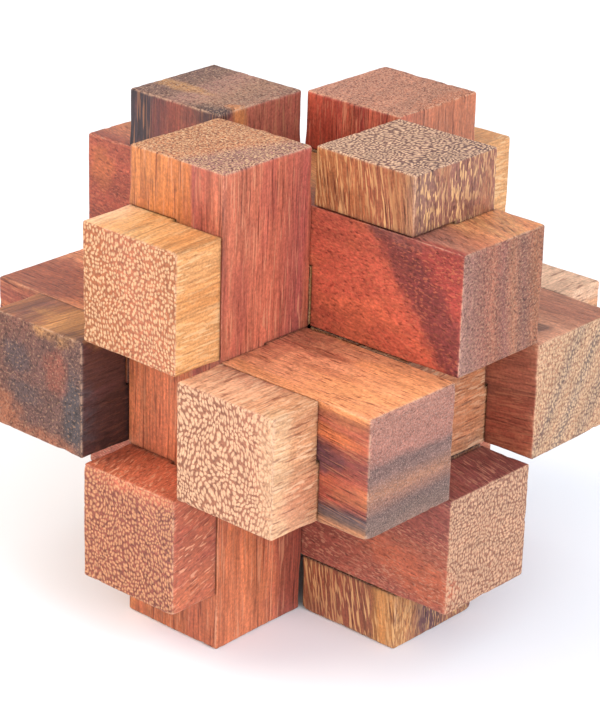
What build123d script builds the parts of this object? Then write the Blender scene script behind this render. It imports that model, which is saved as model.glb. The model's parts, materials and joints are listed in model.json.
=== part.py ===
from build123d import *
import os

# A burr puzzle of twelve equal square sticks, four along each axis, that hold each other.
# Millimetres. The origin is at the centre of the footprint, on the surface that the puzzle
# stands on, with +Z up, +X to the right and -Y to the front.
#
# Space is divided into cells one notch wide. Cell (0, 0, 0) is the empty one in the middle,
# and a stick fills three cells and reaches half a cell further at both ends.

stick_width = 19.0        # square section
stick_length = 76.6
notch_width = 19.3        # a stick's width and its side play; also the size of a cell
lap_gap = 0.2             # left between the two halves of a crossing
long_edge_radius = 0.6
end_edge_radius = 0.5

notch_depth = (stick_width + lap_gap) / 2
centre_height = stick_length / 2

RIGHT = Vector(1, 0, 0)
LEFT = Vector(-1, 0, 0)
BACK = Vector(0, 1, 0)
FRONT = Vector(0, -1, 0)
UP = Vector(0, 0, 1)
DOWN = Vector(0, 0, -1)

# name: (cell of the stick's middle, side with the middle notch, side with the two outer
# notches, how far the stick has settled from the centre of its play)
sticks = {
    "front_upright": ((0, -1, 0), BACK, LEFT, (0.05, 0.04, 0.0)),
    "back_upright": ((0, 1, 0), FRONT, LEFT, (0.06, 0.06, 0.0)),
    "left_upright": ((-1, 0, 0), RIGHT, FRONT, (-0.05, -0.03, 0.0)),
    "right_upright": ((1, 0, 0), RIGHT, FRONT, (-0.05, -0.05, 0.0)),
    "top_crossbar": ((0, 0, 1), DOWN, BACK, (0.0, -0.04, -0.04)),
    "bottom_crossbar": ((0, 0, -1), UP, BACK, (0.0, -0.02, -0.04)),
    "front_crossbar": ((0, -1, 0), FRONT, DOWN, (0.0, 0.0, 0.04)),
    "back_crossbar": ((0, 1, 0), BACK, DOWN, (0.0, 0.04, 0.05)),
    "top_runner": ((0, 0, 1), UP, RIGHT, (0.02, 0.0, 0.04)),
    "bottom_runner": ((0, 0, -1), DOWN, RIGHT, (-0.02, 0.0, -0.05)),
    "left_runner": ((-1, 0, 0), LEFT, UP, (0.04, 0.0, 0.05)),
    "right_runner": ((1, 0, 0), LEFT, UP, (-0.03, 0.0, -0.04)),
}


def stick_frame(cell, middle_side, outer_side, settled):
    """The stick's own axes: x and y leave its two notched sides, z runs along it."""
    centre = Vector(0, 0, centre_height) + Vector(*cell) * notch_width + Vector(*settled)
    return Plane(origin=centre, x_dir=middle_side, z_dir=middle_side.cross(outer_side))


os.makedirs("parts", exist_ok=True)

for stick_name, placing in sticks.items():
    frame = stick_frame(*placing)
    cut_centre = stick_width - notch_depth

    with BuildPart() as stick:
        with BuildSketch(frame.offset(-stick_length / 2)):
            RectangleRounded(stick_width, stick_width, long_edge_radius)
        extrude(amount=stick_length)
        along = stick.faces().sort_by(Axis(frame.origin, frame.z_dir))
        fillet(along[0].edges() + along[-1].edges(), end_edge_radius)

        # the middle notch
        with BuildSketch(frame.offset(-notch_width / 2)):
            with Locations((cut_centre, 0)):
                Rectangle(stick_width, 2 * stick_width)
        extrude(amount=notch_width, mode=Mode.SUBTRACT)

        # the two outer notches
        with BuildSketch(frame.offset(-1.5 * notch_width), frame.offset(0.5 * notch_width)):
            with Locations((0, cut_centre)):
                Rectangle(2 * stick_width, stick_width)
        extrude(amount=notch_width, mode=Mode.SUBTRACT)

    stick.part.label = stick_name
    export_step(stick.part, f"parts/{stick_name}.step")
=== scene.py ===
import json
import math
from dataclasses import dataclass

import bpy
import numpy as np
from mathutils import Matrix, Vector
from mathutils.bvhtree import BVHTree

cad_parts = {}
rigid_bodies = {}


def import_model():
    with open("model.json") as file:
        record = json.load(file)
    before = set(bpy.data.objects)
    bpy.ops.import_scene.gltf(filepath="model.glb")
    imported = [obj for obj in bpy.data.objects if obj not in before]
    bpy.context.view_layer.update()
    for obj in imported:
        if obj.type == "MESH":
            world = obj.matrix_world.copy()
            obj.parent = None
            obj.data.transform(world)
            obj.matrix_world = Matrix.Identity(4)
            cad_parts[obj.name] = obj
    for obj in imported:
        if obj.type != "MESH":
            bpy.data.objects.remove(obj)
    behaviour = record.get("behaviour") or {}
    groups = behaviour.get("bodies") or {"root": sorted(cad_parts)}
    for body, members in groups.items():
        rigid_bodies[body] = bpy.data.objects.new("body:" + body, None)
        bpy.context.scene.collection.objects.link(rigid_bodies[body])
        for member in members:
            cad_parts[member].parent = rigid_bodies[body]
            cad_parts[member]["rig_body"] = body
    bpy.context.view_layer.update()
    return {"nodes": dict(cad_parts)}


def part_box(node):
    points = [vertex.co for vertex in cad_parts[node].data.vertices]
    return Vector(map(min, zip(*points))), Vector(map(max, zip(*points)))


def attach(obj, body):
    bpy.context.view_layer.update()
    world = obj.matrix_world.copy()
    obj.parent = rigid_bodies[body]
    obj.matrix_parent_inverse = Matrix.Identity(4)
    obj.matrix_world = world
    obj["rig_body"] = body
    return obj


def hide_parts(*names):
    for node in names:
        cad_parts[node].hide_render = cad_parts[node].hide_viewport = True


# The looks of a burr puzzle of twelve oiled hardwood sticks. Each stick's CAD node is measured
# and rebuilt as a finely divided mesh with worn, uneven edges, and gets a wood of its own.
# Inside this script a stick is in millimetres; its mesh is made in metres, in the row frame.

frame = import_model()

MM = 0.001

# ---------------------------------------------------------------- the sticks' shape

EDGE_STEPS = (0.0, 0.08, 0.18, 0.32, 0.52, 0.85)  # lines beside each edge, closer where it is round
ACROSS_STEP = 0.5
ALONG_STEP = 1.1
SAWN_RADIUS = 0.1         # of an edge that a notch leaves
INNER_RADIUS = 0.16       # of a long edge between the blocks at a stick's ends
EDGE_RADIUS = 0.34        # of an edge that hands reach
EDGE_WEAR = 0.5           # what handling adds to it in places
EDGE_ROUGH = 0.5          # the share of its radius by which it varies from spot to spot
NICK = 0.42               # what a small bruise adds
NICK_GAIN = 4.0           # this and the next leave only the peaks of a noise as bruises
NICK_LEVEL = 2.9
SAWN_REACH = 1.2          # how far from a notch its crisp edges give way to worn ones
GRIME_AND_SHADE_REACH = 0.25        # how far from a notch's mouth the wood is darkened, as painted shade of the joint's gap with some grime
FACE_WAVE = 0.05          # how far a sawn face is from flat
FIBRE_RELIEF = 0.03
END_RELIEF = 0.06
END_GAIN = 2.2            # this and the next say where end grain gives way to side grain on an edge
END_LEVEL = 0.7
WEAR_RISE = 0.35          # the share of its radius that a corner has lost where its wear is whole
RAY_START = 5.0           # how far outside a stick the rays that look for its notches start
NOTCH_LEAST = 1.0         # how deep a notch is at least
SAME = 0.01               # two distances closer than this are the same
STICK_SEEDS = 100         # how many noise seeds each stick has to itself

# The size of each noise's features, two across the stick and one along it.
WORN_SIZE = (7, 7, 16)
NICK_SIZE = (1.3, 1.3, 1.9)
ROUGH_SIZE = (0.7, 0.7, 0.9)
WAVE_SIZE = (9, 9, 22)
FIBRE_SIZE = (0.9, 0.9, 9)
PIT_SIZE = (1.1, 1.1, 1.1)


def lattice_noise(points, size, seed):
    """Smooth noise from 0 to 1 at points, with features of about that size on each axis."""
    grid = points / np.array(size, float)
    cell = np.floor(grid).astype(np.int64)
    part = grid - cell
    part = part * part * (3 - 2 * part)
    total = np.zeros(len(points))
    for corner in np.ndindex(2, 2, 2):
        at = cell + np.array(corner)
        mixed = at[:, 0] * 73856093 ^ at[:, 1] * 19349663 ^ at[:, 2] * 83492791 ^ seed * 2654435761
        mixed = (mixed ^ (mixed >> 13)) * 1274126177 & 0xFFFFFFFF
        value = ((mixed ^ (mixed >> 16)) & 0xFFFF) / 0xFFFF
        weight = np.prod(np.where(np.array(corner) == 1, part, 1 - part), axis=1)
        total += weight * value
    return total


def grid_lines(breaks, step):
    """Coordinates from the first break to the last, closer together beside every break."""
    lines = []
    for low, high in zip(breaks, breaks[1:]):
        near = [low + offset for offset in EDGE_STEPS]
        far = [high - offset for offset in reversed(EDGE_STEPS)]
        count = max(1, round((far[0] - near[-1]) / step))
        middle = np.linspace(near[-1], far[0], count + 1)[1:-1]
        lines += [*near, *middle, *far[:-1]]
    return np.array([*lines, breaks[-1]])


def notch_at(tree, origin, sides, half_width):
    """The side on which a ray finds a notch, and how far its floor is from the stick's middle."""
    start = half_width + RAY_START * MM
    for side in sides:
        distance = tree.ray_cast(origin + side * start, -side)[3]
        if distance and distance > start - half_width + NOTCH_LEAST * MM:
            return side, (start - distance) / MM
    raise ValueError("no notch here")


def measure_stick(name):
    """A stick's place, directions and notches, measured on its CAD node."""
    mesh = frame["nodes"][name].data
    low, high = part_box(name)
    centre = (low + high) / 2
    size = high - low
    long_axis = max(range(3), key=lambda axis: size[axis])
    half_length = size[long_axis] / 2
    half_width = size[(long_axis + 1) % 3] / 2
    grain = Vector([1.0 if axis == long_axis else 0.0 for axis in range(3)])
    across = [Vector(row) for row in np.eye(3) if Vector(row).dot(grain) == 0]
    sides = [*across, *[-side for side in across]]
    tree = BVHTree.FromPolygons([v.co for v in mesh.vertices], [p.vertices[:] for p in mesh.polygons])
    middle_side, middle_floor = notch_at(tree, centre, sides, half_width)
    outer_side, outer_floor = notch_at(tree, centre + grain * half_length / 2, sides, half_width)
    directions = np.array([middle_side, outer_side, middle_side.cross(outer_side)])
    local = (np.array([v.co for v in mesh.vertices]) - np.array(centre)) @ directions.T / MM
    middle_end = np.abs(local[np.abs(local[:, 0] - middle_floor) < SAME, 2]).max()
    outer_end = np.abs(local[np.abs(local[:, 1] - outer_floor) < SAME, 2]).max()
    return {
        "centre": np.array(centre) / MM,
        "directions": directions,
        "across": np.array([*across, grain]),
        "half_width": half_width / MM,
        "half_length": half_length / MM,
        "floors": (middle_floor, outer_floor),
        "notch_ends": (middle_end, outer_end),
    }


def whole_boxes(stick):
    """The largest boxes that fit in a stick: together they fill it."""
    half_width, half_length = stick["half_width"], stick["half_length"]
    middle_floor, outer_floor = stick["floors"]
    middle_end, outer_end = stick["notch_ends"]
    whole = (-half_width, half_width)
    below_middle = (-half_width, middle_floor)
    below_outer = (-half_width, outer_floor)
    spans = [
        (whole, whole, (outer_end, half_length)),
        (whole, whole, (-half_length, -outer_end)),
        (whole, below_outer, (middle_end, half_length)),
        (whole, below_outer, (-half_length, -middle_end)),
        (below_middle, whole, (-middle_end, middle_end)),
        (below_middle, below_outer, (-half_length, half_length)),
    ]
    return [np.array(box).T for box in spans]


def surface_of(lines, solid):
    """The corner points and outward quads between the full and the empty cells of a grid."""
    shape = np.array([len(line) for line in lines])
    padded = np.pad(solid, 1)
    quads = []
    for axis in range(3):
        cells = np.moveaxis(padded, axis, 0)
        for full, empty, outward in ((cells[:-1], cells[1:], 1), (cells[1:], cells[:-1], -1)):
            moved = np.moveaxis(full & ~empty, 0, axis)
            at = np.argwhere(moved)
            at -= np.array([0 if other == axis else 1 for other in range(3)])
            step_u, step_v = np.eye(3, dtype=int)[(axis + 1) % 3], np.eye(3, dtype=int)[(axis + 2) % 3]
            ring = [at, at + step_u, at + step_u + step_v, at + step_v][::outward]
            quads.append(np.stack([np.ravel_multi_index(point.T, shape) for point in ring], axis=1))
    used, faces = np.unique(np.concatenate(quads), return_inverse=True)
    index = np.stack(np.unravel_index(used, shape), axis=1)
    points = np.stack([lines[axis][index[:, axis]] for axis in range(3)], axis=1)
    return points, faces.reshape(-1, 4)


def nearest_core(points, boxes, radius):
    """For each point, the nearest point that is a radius inside the stick."""
    inset = radius[:, None]
    core = np.zeros_like(points)
    best = np.full(len(points), np.inf)
    for low, high in boxes:
        nearest = np.clip(points, low + inset, high - inset)
        distance = np.linalg.norm(points - nearest, axis=1)
        closer = distance < best - 1e-9
        core[closer] = nearest[closer]
        best[closer] = distance[closer]
    return core, best


def beside_notch(points, stick):
    """How far each point is from the nearest plane of a notch."""
    middle_end, outer_end = stick["notch_ends"]
    along = np.abs(points[:, 2])
    walls = np.minimum(np.abs(along - middle_end), np.abs(along - outer_end))
    floors = np.abs(points[:, :2] - np.array(stick["floors"])).min(axis=1)
    return np.where(along < outer_end, np.minimum(walls, floors), walls)


def beside_mouth(points, stick):
    """How far each point is from the nearest edge that a notch has on the stick's outside."""
    half_width = stick["half_width"]
    middle_floor, outer_floor = stick["floors"]
    middle_end, outer_end = stick["notch_ends"]
    folded = np.abs(points[:, 2])
    middle = np.hypot(np.maximum(middle_floor - points[:, 0], 0), np.maximum(folded - middle_end, 0))
    past = np.maximum(np.maximum(middle_end - folded, folded - outer_end), 0)
    outer = np.hypot(np.maximum(outer_floor - points[:, 1], 0), past)
    inward = half_width - np.abs(points[:, :2]).max(axis=1)
    return np.minimum(middle, outer) + inward


def stick_mesh(name, stick, seed):
    """A stick with rounded, worn edges and slightly uneven faces, all within the CAD stick."""
    half_width, half_length = stick["half_width"], stick["half_length"]
    middle_end, outer_end = stick["notch_ends"]
    lines = [grid_lines((-half_width, floor, half_width), ACROSS_STEP) for floor in stick["floors"]]
    lines.append(
        grid_lines((-half_length, -outer_end, -middle_end, middle_end, outer_end, half_length), ALONG_STEP)
    )
    middles = np.meshgrid(*[(line[1:] + line[:-1]) / 2 for line in lines], indexing="ij")
    boxes = whole_boxes(stick)
    solid = np.zeros(middles[0].shape, bool)
    for low, high in boxes:
        inside = [(low[axis] < middles[axis]) & (middles[axis] < high[axis]) for axis in range(3)]
        solid |= inside[0] & inside[1] & inside[2]
    points, faces = surface_of(lines, solid)

    worn = lattice_noise(points, WORN_SIZE, seed) ** 2
    nicks = np.clip(lattice_noise(points, NICK_SIZE, seed + 1) * NICK_GAIN - NICK_LEVEL, 0, 1)
    rough = lattice_noise(points, ROUGH_SIZE, seed + 2)
    varied = 1 - EDGE_ROUGH / 2 + EDGE_ROUGH * rough
    outer = EDGE_RADIUS * varied + EDGE_WEAR * worn + NICK * nicks
    exposed = np.clip((np.abs(points[:, 2]) - outer_end) / SAWN_REACH - 1, 0, 1)
    radius = INNER_RADIUS + (outer - INNER_RADIUS) * exposed
    crisp = np.clip(1 - beside_notch(points, stick) / SAWN_REACH, 0, 1)
    radius += (SAWN_RADIUS - radius) * crisp
    core, distance = nearest_core(points, boxes, radius)
    outward = (points - core) / distance[:, None]
    ends = np.clip(np.abs(outward[:, 2]) * END_GAIN - END_LEVEL, 0, 1)
    wear = np.clip((distance / radius - 1) / WEAR_RISE, 0, 1)
    # Painted shade with some grime: darker beside where a crossing stick meets the notch, standing in for
    # the shadow in the joint's gap.
    grime_and_joint_shade = np.exp(-beside_mouth(points, stick) / GRIME_AND_SHADE_REACH)

    wave = lattice_noise(points, WAVE_SIZE, seed + 3)
    fibres = lattice_noise(points, FIBRE_SIZE, seed + 4)
    pits = lattice_noise(points, PIT_SIZE, seed + 5)
    dent = FACE_WAVE * wave + FIBRE_RELIEF * fibres * (1 - ends) + END_RELIEF * pits * ends
    moved = core + outward * (radius - dent)[:, None]

    mesh = bpy.data.meshes.new(name)
    placed = (moved @ stick["directions"] + stick["centre"]) * MM
    mesh.from_pydata(placed.tolist(), [], faces.tolist())
    mesh.polygons.foreach_set("use_smooth", np.ones(len(faces), bool))
    place = (points @ stick["directions"]) @ stick["across"].T
    mesh.attributes.new("place", "FLOAT_VECTOR", "POINT").data.foreach_set("vector", place.ravel())
    for attribute, values in (("end_grain", ends), ("wear", wear), ("grime_and_joint_shade", grime_and_joint_shade)):
        mesh.attributes.new(attribute, "FLOAT", "POINT").data.foreach_set("value", values)
    mesh.validate()
    return mesh


# ---------------------------------------------------------------- the wood

# A stick's wood is described in its own millimetres, from its middle: two distances across it
# and one along it. Across a crossbar they are Y then Z, across a runner X then Z, and across an
# upright X then Y, so positive is right, back or up.


@dataclass
class StainOrPaintedLight:
    """A patch of another colour, an ellipsoid with a ragged edge: mostly a stain in the wood; one is painted
    light and one painted shade.
    """

    middle: tuple
    reach: tuple
    colour: str
    amount: float = 0.8
    slant: tuple = (0.0, 0.0)   # how far it slides along the stick for each unit across
    on_ends: float = 1.0        # how much of it the end grain takes


@dataclass
class Wood:
    """What one stick's wood looks like. Colours are sRGB in hexadecimal."""

    bands_run: tuple      # the direction across the stick in which its colour changes
    face: tuple           # (share of the width, colour) on the long faces
    end: tuple            # the same on the end grain
    patches: tuple        # colour and strength of cloudy patches on the faces
    pale: tuple           # colour and strength of the short pale lines on the faces, and how high
                          # the noise is where they begin: at 0.5 they cover half the wood
    pale_end: tuple       # the same for the squiggles that they make in the end grain
    line: float = 0.5          # how far apart the lines are
    line_run: float = 12.0     # how long they are, in those spacings
    dark: tuple = (0.4, 0.4)   # strength of the thin dark lines on the faces and in the end grain
    cells: tuple = ("c29671", 0.0)   # colour and strength of the pale grains in the end grain
    cell_size: tuple = (0.7, 0.7)    # their two widths across the stick
    cell_fill: float = 0.5     # how far each one reaches, in cells: they join up from about 0.6
    swirl: float = 3.0         # how far the rows of them are pushed about
    lean: tuple = (0.0, 0.0)   # how much the grain leans across for each unit along
    rings: float = 0.25        # contrast of the growth rings
    stains_and_painted_light: tuple = ()


WOODS = {
    "left_upright": Wood(
        bands_run=(1, 0.1),
        face=(
            (0.0, "342a30"), (0.32, "3c2a2e"), (0.46, "703c32"), (0.7, "804838"), (0.82, "643c38"),
            (0.9, "92503c"), (1.0, "96503f"),
        ),
        end=((0.0, "684a42"), (0.3, "725042"), (0.45, "96695a"), (0.7, "946a52"), (1.0, "8a604e")),
        patches=("a04c38", 0.35),
        pale=("ac7450", 0.45, 0.57),
        pale_end=("b08c70", 0.7, 0.54),
        line=0.6,
        line_run=20,
        dark=(0.6, 0.7),
        lean=(0.02, 0.02),
        stains_and_painted_light=(
            StainOrPaintedLight((9.5, -4.8, 30.0), (2.5, 1.6, 60.0), "b4703e"),
            StainOrPaintedLight((9.5, -9.0, 30.0), (3.5, 2.2, 60.0), "4c3232", 0.7),
            StainOrPaintedLight((-5.0, -3.0, 38.0), (6.0, 1.8, 6.0), "b4804c", 0.75),
            StainOrPaintedLight((7.0, -8.5, 38.0), (4.5, 2.5, 4.0), "3c2828", 0.7),
        ),
    ),
    "back_upright": Wood(
        bands_run=(1, 0.25),
        face=(
            (0.0, "b0503c"), (0.2, "a04030"), (0.3, "8c382c"), (0.4, "b0543c"), (0.5, "802f28"),
            (0.58, "b45c44"), (0.66, "8c3a2e"), (0.75, "b4644a"), (0.9, "b06a4c"), (1.0, "ac6a4a"),
        ),
        end=((0.0, "ac725a"), (0.5, "a46a50"), (1.0, "a66c50")),
        patches=("b8583a", 0.3),
        pale=("d08a68", 0.45, 0.58),
        pale_end=("cc9c80", 0.6, 0.52),
        line=0.5,
        line_run=14,
        dark=(0.7, 0.8),
        rings=0.3,
        stains_and_painted_light=(StainOrPaintedLight((9.5, 4.0, 34.0), (3.0, 9.0, 16.0), "a8603f", 0.7),),
    ),
    "front_upright": Wood(
        bands_run=(1, -0.35),
        face=(
            (0.0, "ac643a"), (0.15, "b46e40"), (0.4, "bc7440"), (0.73, "b4683a"), (0.76, "944a40"),
            (0.83, "ac5a42"), (0.9, "b06046"), (1.0, "b06248"),
        ),
        end=((0.0, "aa7048"), (0.58, "ae704a"), (0.68, "9a6a5a"), (1.0, "966658")),
        patches=("96443a", 0.45),
        pale=("d08c68", 0.5, 0.58),
        pale_end=("d8ac80", 0.8, 0.52),
        line=0.58,
        line_run=26,
        dark=(0.65, 1.0),
        lean=(0.0, 0.01),
        stains_and_painted_light=(
            StainOrPaintedLight((9.5, -5.0, -33.0), (4.0, 9.0, 18.0), "c87246", 0.7),
            # Painted shade: this darker patch low on the back of the +X face stands for the shade that falls
            # there.
            StainOrPaintedLight((9.5, 8.0, -30.0), (4.0, 4.0, 24.0), "84402f", 0.7),
            StainOrPaintedLight((-3.0, -9.5, -4.0), (9.0, 3.0, 14.0), "d07450", 0.8),
            StainOrPaintedLight((2.0, -9.5, -33.0), (11.0, 4.0, 13.0), "ac5c3a", 0.75),
        ),
    ),
    "right_upright": Wood(
        bands_run=(1, 0.2),
        face=(
            (0.0, "9c6038"), (0.4, "905034"), (0.7, "84503a"), (0.78, "826252"), (0.86, "845444"),
            (1.0, "84503e"),
        ),
        end=((0.0, "785240"), (0.5, "643e34"), (1.0, "583a38")),
        patches=("a4643a", 0.4),
        pale=("dca870", 0.7, 0.51),
        pale_end=("c89c80", 0.3, 0.5),
        line=0.6,
        line_run=11,
        dark=(0.75, 0.4),
        cells=("dcb08c", 0.85),
        cell_size=(0.48, 0.68),
        cell_fill=0.53,
        swirl=5.0,
        lean=(-0.16, 0.0),
        stains_and_painted_light=(
            StainOrPaintedLight((7.5, -8.0, -33.0), (3.0, 4.0, 14.0), "c08244", 0.75),
            StainOrPaintedLight((9.5, -1.0, -34.0), (2.5, 3.0, 7.0), "56363c"),
            StainOrPaintedLight((-4.0, -9.5, -34.0), (7.0, 2.5, 9.0), "8a4836", 0.6),
        ),
    ),
    "top_crossbar": Wood(
        bands_run=(1, 0.1),
        face=(
            (0.0, "b0503a"), (0.08, "ac503c"), (0.16, "9c6450"), (0.35, "a86e4e"), (0.55, "cc8e5c"),
            (1.0, "c88450"),
        ),
        end=(
            (0.0, "8c6458"), (0.18, "86584a"), (0.3, "845040"), (0.4, "905640"), (0.52, "7e4c40"),
            (0.62, "8c583f"), (0.74, "7c4e40"), (0.86, "90583c"), (1.0, "804e3a"),
        ),
        patches=("c46844", 0.4),
        pale=("c8704e", 0.34, 0.55),
        pale_end=("b88c6c", 0.4, 0.54),
        line=0.7,
        line_run=3.5,
        dark=(0.55, 0.6),
        lean=(-0.4, -0.06),
        rings=0.4,
        stains_and_painted_light=(
            StainOrPaintedLight((-9.5, 0.0, 38.5), (1.2, 40.0, 9.0), "8c3430", 0.8, slant=(0.0, 0.6), on_ends=0.0),
            StainOrPaintedLight((-9.5, 0.0, 32.0), (1.2, 40.0, 4.6), "5e2a2a", 0.8, slant=(0.0, 0.8), on_ends=0.0),
            StainOrPaintedLight((-6.0, 9.5, 27.0), (4.0, 3.0, 8.0), "8c5a50", 0.6),
            StainOrPaintedLight((-9.5, 0.0, -36.0), (3.0, 30.0, 12.0), "88402e", 0.8),
            StainOrPaintedLight((-9.5, 4.5, -35.0), (3.0, 3.4, 2.6), "b06838", 0.45),
        ),
    ),
    "bottom_crossbar": Wood(
        bands_run=(0.2, 1),
        face=(
            (0.0, "98503f"), (0.4, "9c543f"), (0.65, "8a4840"), (0.93, "844640"), (1.0, "744038"),
        ),
        end=((0.0, "88543e"), (0.5, "8a5a42"), (1.0, "845440")),
        patches=("9a5040", 0.3),
        pale=("c08468", 0.6, 0.55),
        pale_end=("b88c70", 0.3, 0.5),
        line=0.54,
        line_run=20,
        dark=(0.5, 0.4),
        cells=("d0a07c", 0.75),
        cell_size=(0.52, 0.66),
        cell_fill=0.57,
        lean=(-0.3, -0.1),
        stains_and_painted_light=(
            StainOrPaintedLight((-9.5, -5.0, 33.0), (3.0, 4.0, 9.0), "b86040", 0.7, slant=(0.0, 1.0)),
            StainOrPaintedLight((-9.5, 2.0, 27.0), (3.0, 1.2, 10.0), "7a3c34", 0.5, slant=(0.0, 1.0)),
            StainOrPaintedLight((-9.5, 0.0, 12.0), (3.0, 12.0, 8.0), "7c3e38", 0.5),
        ),
    ),
    "front_crossbar": Wood(
        bands_run=(0.0, -1),
        face=(
            (0.0, "dc9066"), (0.03, "c4744e"), (0.08, "904a3a"), (0.3, "a45238"), (0.42, "7e3e38"),
            (0.6, "a44e38"), (0.76, "984636"), (0.83, "544042"), (0.9, "604a44"), (0.96, "a8704c"),
        ),
        end=(
            (0.0, "9c6856"), (0.36, "986252"), (0.44, "6e5048"), (0.52, "74544a"), (0.64, "926248"),
            (0.72, "8a5e4c"), (0.8, "684e46"), (0.88, "6a5248"), (1.0, "785a4c"),
        ),
        patches=("d88c4c", 0.35),
        pale=("d08c64", 0.25, 0.56),
        pale_end=("b08c7c", 0.55, 0.56),
        line=0.42,
        line_run=20,
        dark=(0.75, 0.4),
        lean=(-0.03, -0.1),
        rings=0.3,
        stains_and_painted_light=(
            StainOrPaintedLight((5.0, 9.5, -2.0), (12.0, 3.0, 19.0), "984c3a", 0.8),
            StainOrPaintedLight((4.0, 9.5, 17.0), (1.0, 2.0, 6.0), "84422e", 0.7),
            StainOrPaintedLight((-1.0, 9.5, 24.0), (1.2, 2.0, 8.0), "b06440", 0.5),
            StainOrPaintedLight((2.0, 9.5, 34.0), (12.0, 2.0, 9.0), "dc9460", 0.55, on_ends=0.0),
            StainOrPaintedLight((-9.5, 5.0, 31.0), (2.5, 1.4, 4.5), "c0683c", 0.75, slant=(0.0, 2.0)),
            StainOrPaintedLight((-9.5, 1.0, 28.0), (2.5, 2.6, 5.0), "5c363c", 0.85),
            StainOrPaintedLight((-4.0, 9.5, -34.0), (8.0, 3.0, 16.0), "884634", 0.85),
        ),
    ),
    "back_crossbar": Wood(
        bands_run=(1, -0.6),
        face=((0.0, "cc9070"), (0.3, "c08464"), (0.45, "9c6048"), (0.6, "ac7054"), (1.0, "c48c68")),
        end=(
            (0.0, "a8785a"), (0.28, "a07254"), (0.37, "6e564a"), (0.47, "a87a5a"), (0.56, "705a4e"),
            (0.66, "a87a5a"), (0.75, "765a4c"), (0.86, "a87858"), (1.0, "ac7e5c"),
        ),
        patches=("9c5c40", 0.3),
        pale=("c4805c", 0.25, 0.54),
        pale_end=("c8a07c", 0.3, 0.51),
        line=0.58,
        dark=(0.4, 0.5),
        cells=("d4ac84", 0.6),
        cell_size=(0.54, 0.7),
        cell_fill=0.53,
        lean=(0.0, 0.1),
        stains_and_painted_light=(
            StainOrPaintedLight((-9.5, -6.0, 34.0), (3.0, 6.0, 6.0), "a85636", 0.6, on_ends=0.3),
            StainOrPaintedLight((-9.5, 1.0, 26.0), (2.0, 12.0, 22.0), "7a3428", 0.8, on_ends=0.0),
            StainOrPaintedLight((-4.5, 9.5, 33.0), (2.2, 2.0, 3.0), "4c342e", 0.8),
        ),
    ),
    "top_runner": Wood(
        bands_run=(1, 0.3),
        face=((0.0, "e2b28a"), (0.25, "e0ac80"), (0.42, "d8a066"), (1.0, "c48a56")),
        end=((0.0, "9c603a"), (0.35, "a05c3a"), (0.55, "ac6648"), (1.0, "9c5e3a")),
        patches=("c47c40", 0.5),
        pale=("e8be8a", 0.45, 0.54),
        pale_end=("b08060", 0.0, 0.6),
        line=0.9,
        line_run=6,
        dark=(0.15, 0.2),
        cells=("d4a67c", 0.9),
        cell_size=(0.58, 0.76),
        cell_fill=0.52,
        swirl=2.0,
        lean=(-0.04, 0.0),
        rings=0.15,
    ),
    "bottom_runner": Wood(
        bands_run=(1, 0.6),
        face=((0.0, "b45c44"), (0.3, "b45e46"), (0.6, "b8683f"), (0.75, "a4583f"), (1.0, "ac5e44")),
        end=((0.0, "8c4c38"), (0.5, "864636"), (1.0, "864c40")),
        patches=("a04a3c", 0.4),
        pale=("e4a07c", 0.7, 0.57),
        pale_end=("a87454", 0.2, 0.6),
        line=0.85,
        line_run=16,
        dark=(0.4, 0.4),
        cells=("d09468", 0.75),
        cell_size=(0.54, 0.7),
        cell_fill=0.53,
        lean=(-0.28, 0.28),
        rings=0.2,
        # Painted light: this lighter patch on the top face lifts a top that lies in shade.
        stains_and_painted_light=(StainOrPaintedLight((0.0, 9.5, -28.0), (14.0, 3.0, 16.0), "c46a4c", 0.8),),
    ),
    "left_runner": Wood(
        bands_run=(1, -0.5),
        face=((0.0, "a86c44"), (0.4, "905438"), (0.55, "54342e"), (1.0, "382422")),
        end=((0.0, "6c4436"), (0.5, "624038"), (1.0, "584038")),
        patches=("543434", 0.4),
        pale=("6c4434", 0.25, 0.54),
        pale_end=("a47c60", 0.5, 0.58),
        line=0.8,
        dark=(0.45, 0.6),
        lean=(0.1, 0.02),
        rings=0.4,
        stains_and_painted_light=(
            StainOrPaintedLight((7.5, -2.5, -38.0), (2.2, 7.0, 5.0), "423c3e"),
            StainOrPaintedLight((-5.0, 3.0, -38.0), (3.0, 3.0, 4.0), "483c3e", 0.7),
            StainOrPaintedLight((-3.0, -2.5, -38.0), (3.5, 2.0, 4.0), "4a3e3e", 0.6),
            StainOrPaintedLight((-9.0, -7.0, -38.0), (5.0, 4.0, 6.0), "9c5c3c", 0.7),
            StainOrPaintedLight((-4.0, 9.5, -35.0), (3.0, 2.0, 5.0), "6c4238", 0.75, slant=(1.0, 0.0)),
            StainOrPaintedLight((2.5, 9.5, -32.0), (3.0, 2.0, 7.0), "cc9458", 0.7, slant=(-0.8, 0.0)),
            StainOrPaintedLight((0.0, -9.5, -38.0), (9.0, 2.2, 5.0), "94583c", 0.7),
            StainOrPaintedLight((3.0, 9.0, -34.0), (7.0, 2.2, 5.0), "b07c48", 0.75),
            StainOrPaintedLight((4.0, 3.0, -38.0), (2.5, 3.5, 4.0), "8c4a36", 0.6),
        ),
    ),
    "right_runner": Wood(
        bands_run=(1, 0.2),
        face=((0.0, "d29c78"), (0.5, "d49c78"), (1.0, "bc845c")),
        end=((0.0, "8c5a42"), (0.5, "945e46"), (1.0, "a06850")),
        patches=("bc7c58", 0.45),
        pale=("ecc098", 0.45, 0.53),
        pale_end=("a06c50", 0.0, 0.6),
        line=0.8,
        line_run=6,
        dark=(0.6, 0.2),
        cells=("d8a884", 0.95),
        cell_size=(0.56, 0.82),
        cell_fill=0.58,
        swirl=4.0,
        lean=(-0.02, 0.0),
        rings=0.15,
        stains_and_painted_light=(
            StainOrPaintedLight((9.5, 0.0, 0.0), (3.0, 12.0, 12.0), "a8643f", 0.7),
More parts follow.
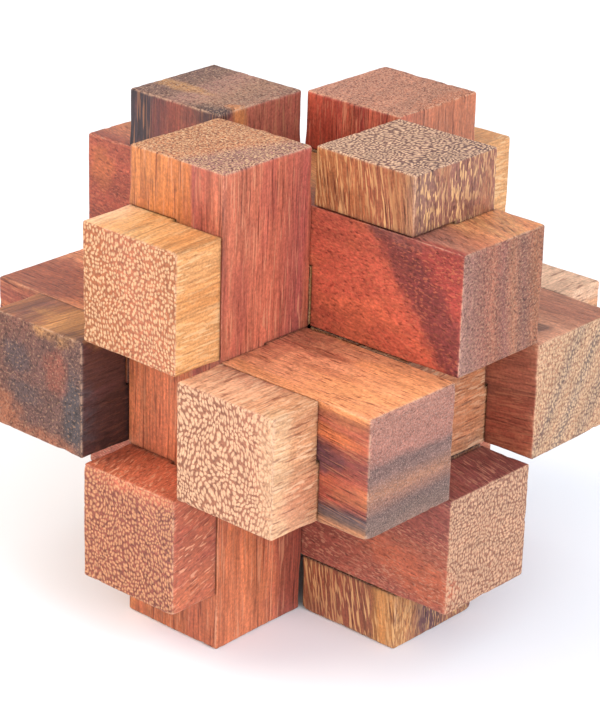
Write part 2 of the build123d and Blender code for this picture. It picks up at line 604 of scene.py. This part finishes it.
            StainOrPaintedLight((-4.0, 9.5, -23.0), (9.0, 2.0, 8.0), "94503c", 0.75),
            StainOrPaintedLight((0.0, 9.5, 34.0), (14.0, 3.0, 10.0), "e4ba98", 0.7),
            StainOrPaintedLight((9.5, 9.0, -37.0), (3.0, 30.0, 2.6), "d4aa80", 0.5),
            StainOrPaintedLight((9.5, -4.5, -28.0), (2.0, 3.5, 9.0), "b47050", 0.65),
        ),
    ),
}


def linear(colour):
    """A hexadecimal sRGB colour as the linear one that a shader takes."""
    parts = [int(colour[at:at + 2], 16) / 255 for at in (0, 2, 4)]
    return (*[part / 12.92 if part <= 0.04045 else ((part + 0.055) / 1.055) ** 2.4 for part in parts], 1.0)


class Nodes:
    """Short ways to add shader nodes. A value may be a number, a tuple or another node's output."""

    def __init__(self, material):
        self.tree = material.node_tree

    def put(self, socket, value):
        if isinstance(value, bpy.types.NodeSocket):
            self.tree.links.new(value, socket)
        else:
            socket.default_value = value

    def add(self, kind, inputs, **settings):
        node = self.tree.nodes.new(kind)
        for key, value in settings.items():
            setattr(node, key, value)
        for key, value in inputs.items():
            self.put(node.inputs[key], value)
        return node

    def attribute(self, name, output):
        return self.add("ShaderNodeAttribute", {}, attribute_name=name).outputs[output]

    def math(self, operation, *values):
        return self.add("ShaderNodeMath", dict(enumerate(values)), operation=operation).outputs[0]

    def vector(self, operation, *values):
        node = self.add("ShaderNodeVectorMath", dict(enumerate(values)), operation=operation)
        return node.outputs["Value" if operation in ("DOT_PRODUCT", "LENGTH") else "Vector"]

    def combined(self, *parts):
        return self.add("ShaderNodeCombineXYZ", dict(enumerate(parts))).outputs[0]

    def noise(self, vector, scale=1.0, detail=2.0, output="Fac"):
        """Noise with that many bumps for each unit, on all axes or on each."""
        if isinstance(scale, tuple):
            vector = self.vector("MULTIPLY", vector, scale)
            scale = 1.0
        inputs = {"Vector": vector, "Scale": scale, "Detail": detail}
        return self.add("ShaderNodeTexNoise", inputs).outputs[output]

    def ease(self, value, low, high):
        """0 below low and 1 above high, or the other way round if high is the lower, smoothly."""
        inputs = {"Value": value, "From Min": low, "From Max": high}
        return self.add("ShaderNodeMapRange", inputs, interpolation_type="SMOOTHSTEP").outputs[0]

    def wobble(self, value, contrast):
        """A noise as a shade about 1."""
        return self.math("MULTIPLY_ADD", value, contrast, 1 - contrast / 2)

    def mix(self, share, first, second, blend="MIX"):
        inputs = {0: share, 6: first, 7: second}
        node = self.add("ShaderNodeMix", inputs, data_type="RGBA", blend_type=blend)
        return node.outputs[2]

    def ramp(self, value, stops):
        node = self.add("ShaderNodeValToRGB", {"Fac": value})
        elements = node.color_ramp.elements
        elements.remove(elements[1])
        elements[0].position, elements[0].color = stops[0][0], linear(stops[0][1])
        for position, colour in stops[1:]:
            elements.new(position).color = linear(colour)
        return node.outputs["Color"]


# The noises of the wood, in bumps for each millimetre: two across the stick and one along it.
WANDER_SCALE = (0.09, 0.09, 0.028)
CLOUD_SCALE = (0.2, 0.2, 0.05)
STREAK_SCALE = (0.7, 0.7, 0.03)
FIBRE_SCALE = (3.0, 3.0, 0.14)
MOTTLE_SCALE = (2.8, 2.8, 2.2)
SWIRL_SCALE = 0.14               # of what turns the rows of grains in the end grain
RAGGED_SCALE = 0.45              # of a stain's edge
RING_SCALE = (1.0, 0.12, 0.012)  # across the rings, then along each one, then along the stick
SEED_STEP = (37.0, 53.0, 71.0)   # how far apart in the noises two sticks' woods are
WANDER = 2.4                     # how far the grain strays over a stick's length

# How much each noise changes the shade.
RING_CONTRAST = 3.0              # for a ring contrast of 1
STREAK_CONTRAST = 0.6
FIBRE_CONTRAST = 1.3
MOTTLE_CONTRAST = 1.2

# Each pair is where something begins and where it is whole.
PATCH_EDGE = (0.48, 0.62)        # in the clouds
STAIN_OR_LIGHT_EDGE = (1.95, 1.15)        # in a stain's or painted patch's reaches, with its raggedness added
PALE_EDGE = (0.0, 0.07)          # in the line noise, above the height where a line begins
PALE_PLACES = (0.62, 0.4)        # in the clouds, where the pale lines are many
DARK_EDGE = (0.42, 0.31)         # in the dark line noise
HANDLED_EDGE = (0.68, 0.85)      # in the noise of the paler edges

STAIN_OR_LIGHT_RAGGED = 1.2               # how much noise is added to the distance from a stain or painted patch
LINE_NOISE = 1.9                 # bumps of the line noise in one line spacing
PALE_FEWEST = 0.3                # share of their strength that the pale lines keep elsewhere
PALE_MORE = 0.9                  # what they gain where they are many
DARK_SHIFT = (9.0, 3.0, 5.0)     # how far the dark line noise is from the pale one
DARK_SCALE = (0.8, 0.8, 0.6)     # and its scale beside that one
DARK_ON_ENDS = -0.05             # how much lower it is in the end grain, so there is more of it
DARK_TINT = "8a5a50"

BEND_SCALE = 0.7                 # bumps in each cell of the noise that bends the cells
BEND = 0.4                       # how much it bends them, in cells
CELL_ROUNDING = 0.15             # how far cells that touch melt together
CELL_SCATTER = 0.7               # 0 puts the cells on a grid
CELL_FADE = 0.34                 # how far a cell's edge fades, in cells
CELL_SHADE = 0.6                 # how much of the wood's shade the cells take

HANDLED_COLOUR = "d0a484"
HANDLED_AMOUNT = 0.45
HANDLED_MOTTLE = 0.5             # how much mottle is added to the streaks to make their noise
# The near-black at the joints is painted shade of their gaps, with some grime.
GRIME_AND_SHADE_COLOUR = "1e100c"
GRIME_AND_SHADE_AMOUNT = 0.8

ROUGHNESS = 0.42
END_ROUGHNESS = 0.56
MOTTLE_ROUGHNESS = 0.22          # what the mottle adds
OIL_IOR = 1.45
BUMP_STRENGTH = 0.6
BUMP_DEPTH = 0.12                # of a relief of 1
PALE_RELIEF = 0.35
FIBRE_BUMP = 0.5
MOTTLE_BUMP = 0.6
DARK_BUMP = -0.5


class StickNodes(Nodes):
    """The nodes of one stick's wood, with the places and noises that its layers share."""

    def __init__(self, material, wood, seed):
        super().__init__(material)
        self.wood = wood
        self.run = Vector(wood.bands_run).normalized()
        self.place = self.attribute("place", "Vector")
        self.ends = self.attribute("end_grain", "Fac")
        self.sides = self.math("SUBTRACT", 1.0, self.ends)
        along = self.add("ShaderNodeSeparateXYZ", {"Vector": self.place}).outputs["Z"]
        leaning = self.combined(*[self.math("MULTIPLY", along, -lean) for lean in wood.lean])
        self.shifted = self.vector("ADD", self.place, [seed * step for step in SEED_STEP])
        wander = self.noise(self.shifted, WANDER_SCALE, output="Color")
        wander = self.vector("SUBTRACT", wander, (0.5, 0.5, 0.5))
        self.wander = self.vector("MULTIPLY", wander, (WANDER, WANDER, 0.0))
        self.grain = self.vector("ADD", self.vector("ADD", self.shifted, leaning), self.wander)
        self.clouds = self.noise(self.grain, CLOUD_SCALE, detail=4.0)
        self.streaks = self.noise(self.grain, STREAK_SCALE, detail=4.0)
        self.fibres = self.noise(self.grain, FIBRE_SCALE, detail=3.0)
        self.mottle = self.noise(self.shifted, MOTTLE_SCALE, detail=3.0)

    def by_face(self, on_sides, on_ends):
        """One number on the long faces and another on the ends."""
        return self.math("MULTIPLY_ADD", self.ends, on_ends - on_sides, on_sides)


def bands(nodes, half_width):
    """Broad bands of colour across the stick."""
    run = nodes.run
    reach = half_width * (abs(run.x) + abs(run.y)) * 2
    winding = nodes.vector("ADD", nodes.place, nodes.wander)
    band = nodes.vector("DOT_PRODUCT", winding, (*(run / reach), 0.0))
    band = nodes.math("ADD", band, 0.5)
    return nodes.mix(nodes.ends, nodes.ramp(band, nodes.wood.face), nodes.ramp(band, nodes.wood.end))


def patched(nodes, colour):
    """Cloudy patches on the long faces."""
    patch_colour, strength = nodes.wood.patches
    share = nodes.math("MULTIPLY", nodes.ease(nodes.clouds, *PATCH_EDGE), strength)
    share = nodes.math("MULTIPLY", share, nodes.sides)
    return nodes.mix(share, colour, linear(patch_colour))


def stained_and_painted_light(nodes, colour):
    """The stick's stains, one over another, with its patches of painted light and shade among them."""
    ragged = nodes.noise(nodes.shifted, RAGGED_SCALE, detail=4.0)
    for stain_or_light_patch in nodes.wood.stains_and_painted_light:
        offset = nodes.vector("SUBTRACT", nodes.place, stain_or_light_patch.middle)
        slide = nodes.vector("DOT_PRODUCT", offset, (*stain_or_light_patch.slant, 0.0))
        slide = nodes.combined(0.0, 0.0, slide)
        scaled = nodes.vector("DIVIDE", nodes.vector("ADD", offset, slide), stain_or_light_patch.reach)
        distance = nodes.math("MULTIPLY_ADD", ragged, STAIN_OR_LIGHT_RAGGED, nodes.vector("LENGTH", scaled))
        amount = nodes.by_face(stain_or_light_patch.amount, stain_or_light_patch.amount * stain_or_light_patch.on_ends)
        share = nodes.math("MULTIPLY", nodes.ease(distance, *STAIN_OR_LIGHT_EDGE), amount)
        colour = nodes.mix(share, colour, linear(stain_or_light_patch.colour))
    return colour


def growth_rings(nodes):
    """Noise in layers that face along the bands' run, and change little along the stick."""
    run = nodes.run
    across, beside, along = RING_SCALE
    rows = [(run.x * across, run.y * across, 0.0), (-run.y * beside, run.x * beside, 0.0), (0.0, 0.0, along)]
    winding = nodes.vector("ADD", nodes.place, nodes.wander)
    parts = [nodes.vector("DOT_PRODUCT", winding, row) for row in rows]
    return nodes.noise(nodes.combined(*parts), detail=4.0)


def shade_of(nodes):
    """A grey about 1 of growth rings, long streaks, fibres and a fine mottle."""
    shade = nodes.wobble(growth_rings(nodes), nodes.wood.rings * RING_CONTRAST)
    parts = (
        (nodes.streaks, STREAK_CONTRAST),
        (nodes.fibres, FIBRE_CONTRAST),
        (nodes.mottle, MOTTLE_CONTRAST),
    )
    for part, contrast in parts:
        shade = nodes.math("MULTIPLY", shade, nodes.wobble(part, contrast))
    return nodes.combined(shade, shade, shade)


def line_place_of(nodes):
    """The place for the noise of the lines, which are long along the grain."""
    thin = LINE_NOISE / nodes.wood.line
    return nodes.vector("MULTIPLY", nodes.grain, (thin, thin, thin / nodes.wood.line_run))


def pale_lined(nodes, line_place, colour):
    """Short pale lines, which are squiggles in the end grain. They come and go over the faces."""
    side_colour, side_strength, side_begin = nodes.wood.pale
    end_colour, end_strength, end_begin = nodes.wood.pale_end
    begin = nodes.by_face(side_begin, end_begin)
    over = nodes.math("SUBTRACT", nodes.noise(line_place, detail=1.0), begin)
    pale = nodes.ease(over, *PALE_EDGE)
    amount = nodes.by_face(side_strength, end_strength)
    here = nodes.math("MULTIPLY_ADD", nodes.ease(nodes.clouds, *PALE_PLACES), PALE_MORE, PALE_FEWEST)
    here = nodes.math("MAXIMUM", nodes.math("MULTIPLY", here, nodes.sides), nodes.ends)
    share = nodes.math("MULTIPLY", nodes.math("MULTIPLY", pale, amount), here)
    pale_colour = nodes.mix(nodes.ends, linear(side_colour), linear(end_colour))
    return nodes.mix(share, colour, pale_colour), pale


def dark_lined(nodes, line_place, colour):
    """Thin dark pore lines, which are dots in the end grain."""
    place = nodes.vector("ADD", nodes.vector("MULTIPLY", line_place, DARK_SCALE), DARK_SHIFT)
    under = nodes.math("MULTIPLY_ADD", nodes.ends, DARK_ON_ENDS, nodes.noise(place, detail=2.0))
    dark = nodes.ease(under, *DARK_EDGE)
    share = nodes.math("MULTIPLY", dark, nodes.by_face(*nodes.wood.dark))
    return nodes.mix(share, colour, nodes.mix(1.0, colour, linear(DARK_TINT), "MULTIPLY")), dark


def end_cells(nodes):
    """Pale grains with dark gaps: columns along the stick, so they are much the same at every cut."""
    wood = nodes.wood
    swirl = nodes.noise(nodes.grain, SWIRL_SCALE, detail=1.0, output="Color")
    place = nodes.vector("ADD", nodes.grain, nodes.vector("MULTIPLY", swirl, [wood.swirl] * 3))
    place = nodes.vector("DIVIDE", place, (*wood.cell_size, 1.0))
    bent = nodes.noise(place, BEND_SCALE, detail=1.0, output="Color")
    place = nodes.vector("ADD", place, nodes.vector("MULTIPLY", bent, [BEND] * 3))
    settings = {"voronoi_dimensions": "2D", "feature": "SMOOTH_F1"}
    inputs = {"Vector": place, "Scale": 1.0, "Smoothness": CELL_ROUNDING, "Randomness": CELL_SCATTER}
    distance = nodes.add("ShaderNodeTexVoronoi", inputs, **settings).outputs["Distance"]
    cells = nodes.ease(distance, wood.cell_fill, wood.cell_fill - CELL_FADE)
    return nodes.math("MULTIPLY", cells, nodes.ends)


def handled_and_joint_shaded(nodes, colour):
    """Edges that are paler in places from handling, and joints darkened with painted shade of their gaps and
    some grime.
    """
    noise = nodes.math("MULTIPLY_ADD", nodes.mottle, HANDLED_MOTTLE, nodes.streaks)
    patchy = nodes.ease(noise, *HANDLED_EDGE)
    share = nodes.math("MULTIPLY", nodes.attribute("wear", "Fac"), patchy)
    share = nodes.math("MULTIPLY", share, HANDLED_AMOUNT)
    colour = nodes.mix(share, colour, linear(HANDLED_COLOUR))
    # Painted shade with some grime: the joints are darkened towards near-black.
    share = nodes.math("MULTIPLY", nodes.attribute("grime_and_joint_shade", "Fac"), GRIME_AND_SHADE_AMOUNT)
    return nodes.mix(share, colour, linear(GRIME_AND_SHADE_COLOUR))


def wood_material(name, wood, seed, half_width):
    """Oiled wood: its colours from the broadest layer to the finest, then its sheen and relief."""
    material = bpy.data.materials.new(name)
    material.use_nodes = True
    nodes = StickNodes(material, wood, seed)
    shader = material.node_tree.nodes["Principled BSDF"]

    shade = shade_of(nodes)
    colour = stained_and_painted_light(nodes, patched(nodes, bands(nodes, half_width)))
    colour = nodes.mix(1.0, colour, shade, "MULTIPLY")
    line_place = line_place_of(nodes)
    colour, pale = pale_lined(nodes, line_place, colour)
    colour, dark = dark_lined(nodes, line_place, colour)
    cells = end_cells(nodes)
    cell_colour, cell_strength = wood.cells
    cell_colour = nodes.mix(CELL_SHADE, linear(cell_colour), shade, "MULTIPLY")
    colour = nodes.mix(nodes.math("MULTIPLY", cells, cell_strength), colour, cell_colour)
    nodes.put(shader.inputs["Base Color"], handled_and_joint_shaded(nodes, colour))

    roughness = nodes.by_face(ROUGHNESS, END_ROUGHNESS)
    roughness = nodes.math("MULTIPLY_ADD", nodes.mottle, MOTTLE_ROUGHNESS, roughness)
    nodes.put(shader.inputs["Roughness"], roughness)
    shader.inputs["IOR"].default_value = OIL_IOR

    relief = nodes.math("MULTIPLY_ADD", cells, cell_strength, nodes.math("MULTIPLY", pale, PALE_RELIEF))
    for part, depth in ((nodes.fibres, FIBRE_BUMP), (nodes.mottle, MOTTLE_BUMP), (dark, DARK_BUMP)):
        relief = nodes.math("MULTIPLY_ADD", part, depth, relief)
    inputs = {"Strength": BUMP_STRENGTH, "Distance": BUMP_DEPTH * MM, "Height": relief}
    bump = nodes.add("ShaderNodeBump", inputs)
    nodes.put(shader.inputs["Normal"], bump.outputs["Normal"])
    return material


def make_sticks():
    """Each stick's mesh and wood, in place of its CAD node and on the same body."""
    for seed, (name, wood) in enumerate(WOODS.items(), start=1):
        stick = measure_stick(name)
        piece = bpy.data.objects.new(name + "_wood", stick_mesh(name + "_wood", stick, STICK_SEEDS * seed))
        bpy.context.scene.collection.objects.link(piece)
        piece.data.materials.append(wood_material(name + "_wood", wood, seed, stick["half_width"]))
        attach(piece, frame["nodes"][name]["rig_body"])
        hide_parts(name)


make_sticks()

# ---------------------------------------------------------------- floor, light and camera

FLOOR_RADII = (0.1, 0.25, 0.6, 1.5, 4.0)
FLOOR_SPOKES = 48


def pale_floor():
    """A wide round floor of white card."""
    points = [(0.0, 0.0, 0.0)]
    for radius in FLOOR_RADII:
        for spoke in range(FLOOR_SPOKES):
            angle = math.tau * spoke / FLOOR_SPOKES
            points.append((radius * math.cos(angle), radius * math.sin(angle), 0.0))
    faces = [(0, 1 + spoke, 1 + (spoke + 1) % FLOOR_SPOKES) for spoke in range(FLOOR_SPOKES)]
    for ring in range(len(FLOOR_RADII) - 1):
        first, second = 1 + ring * FLOOR_SPOKES, 1 + (ring + 1) * FLOOR_SPOKES
        for spoke in range(FLOOR_SPOKES):
            after = (spoke + 1) % FLOOR_SPOKES
            faces.append((first + spoke, second + spoke, second + after, first + after))
    mesh = bpy.data.meshes.new("floor")
    mesh.from_pydata(points, [], faces)
    floor = bpy.data.objects.new("floor", mesh)
    bpy.context.scene.collection.objects.link(floor)
    material = bpy.data.materials.new("floor")
    material.use_nodes = True
    shader = material.node_tree.nodes["Principled BSDF"]
    shader.inputs["Base Color"].default_value = (0.9, 0.9, 0.9, 1.0)
    shader.inputs["Roughness"].default_value = 0.9
    shader.inputs["Specular IOR Level"].default_value = 0.1
    mesh.materials.append(material)


LAMP_TARGET = Vector((0.0, 0.0, 0.04))   # about the puzzle's middle


def aimed(place):
    """A matrix that puts a lamp at place and points it at the puzzle."""
    turn = (LAMP_TARGET - Vector(place)).to_track_quat("-Z", "Y")
    return Matrix.Translation(place) @ turn.to_matrix().to_4x4()


def area_lamp(name, place, size, power, colour):
    data = bpy.data.lights.new(name, "AREA")
    data.size = size
    data.energy = power
    data.color = colour
    lamp = bpy.data.objects.new(name, data)
    lamp.matrix_world = aimed(place)
    bpy.context.scene.collection.objects.link(lamp)


def light_tent():
    """Even white light from all round, a warm lamp on the left, a cool one on the right and a fill."""
    world = bpy.data.worlds.new("tent")
    world.use_nodes = True
    background = world.node_tree.nodes["Background"]
    background.inputs["Color"].default_value = (0.94, 0.96, 1.0, 1.0)
    background.inputs["Strength"].default_value = 0.92
    bpy.context.scene.world = world
    area_lamp("warm_lamp", (-0.55, -0.5, 0.6), size=0.5, power=5.0, colour=(1.0, 0.87, 0.74))
    area_lamp("cool_lamp", (0.8, -0.1, 0.5), size=0.5, power=5.2, colour=(0.66, 0.8, 1.0))
    area_lamp("fill_lamp", (0.45, -0.5, 0.3), size=0.6, power=2.4, colour=(1.0, 1.0, 1.0))


CAMERA_PLACE = (0.2511, -0.2866, 0.1984)
CAMERA_AZIMUTH = math.radians(41.27)     # 0 looks along +Y
CAMERA_ELEVATION = math.radians(23.0)    # looking down
CAMERA_ROLL = math.radians(1.7)
CAMERA_LENS = 132.2
SENSOR_WIDTH = 36.0


def photo_camera():
    data = bpy.data.cameras.new("camera")
    data.lens = CAMERA_LENS
    data.sensor_width = SENSOR_WIDTH
    camera = bpy.data.objects.new("camera", data)
    turn = Matrix.Rotation(CAMERA_AZIMUTH, 4, "Z")
    turn @= Matrix.Rotation(math.pi / 2 - CAMERA_ELEVATION, 4, "X")
    turn @= Matrix.Rotation(CAMERA_ROLL, 4, "Z")
    camera.matrix_world = Matrix.Translation(CAMERA_PLACE) @ turn
    bpy.context.scene.collection.objects.link(camera)
    bpy.context.scene.camera = camera


pale_floor()
light_tent()
photo_camera()
bpy.context.scene.view_settings.view_transform = "Standard"
